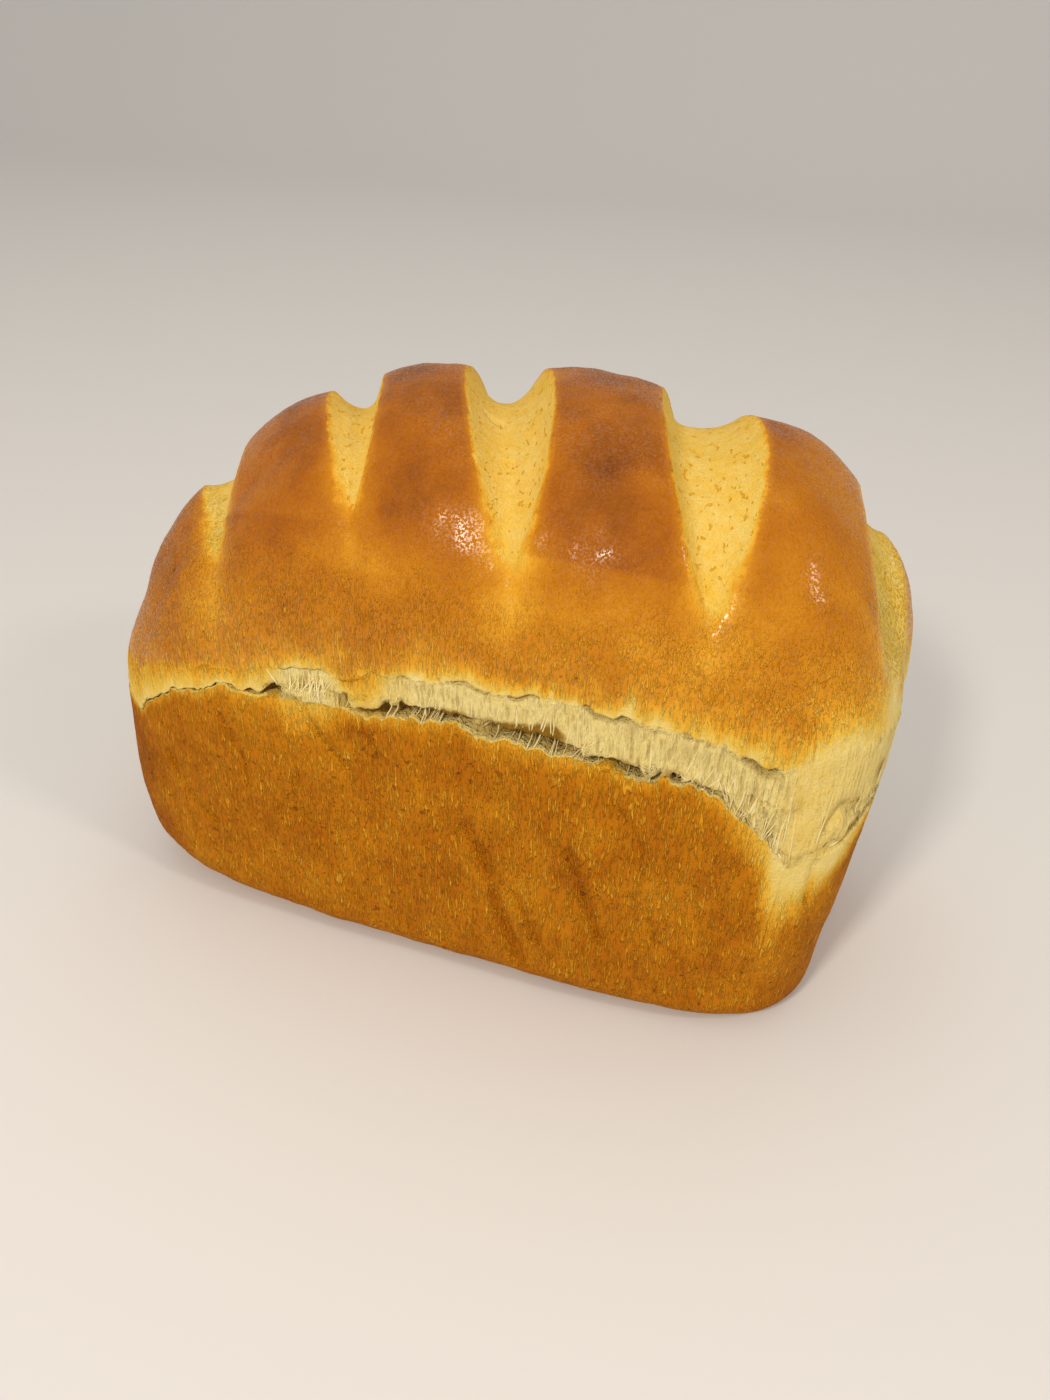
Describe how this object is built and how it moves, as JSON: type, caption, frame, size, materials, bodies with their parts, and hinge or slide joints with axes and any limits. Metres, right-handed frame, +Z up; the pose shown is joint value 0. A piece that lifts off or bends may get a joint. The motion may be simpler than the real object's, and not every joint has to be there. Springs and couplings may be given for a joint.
{
  "type": "bread loaf",
  "caption": "Tin-baked bread loaf with straight sides, a tear above the tin line and a domed top opened by slanted slashes.",
  "frame": {"origin": "on the resting plane, under the middle of the loaf's length and width", "axes": "+X along the loaf towards its taller, squarer end, -Y towards the front side, +Z up"},
  "size_m": [0.2212, 0.1082, 0.158],
  "materials": {
    "crust": "baked bread crust: glossy egg-washed dome from golden to deep brown, pale matte crumb in the slashes and the tear, semi-matte orange-brown tin sides"
  },
  "bodies": {
    "root": {"loaf": "crust"}
  },
  "joints": []
}
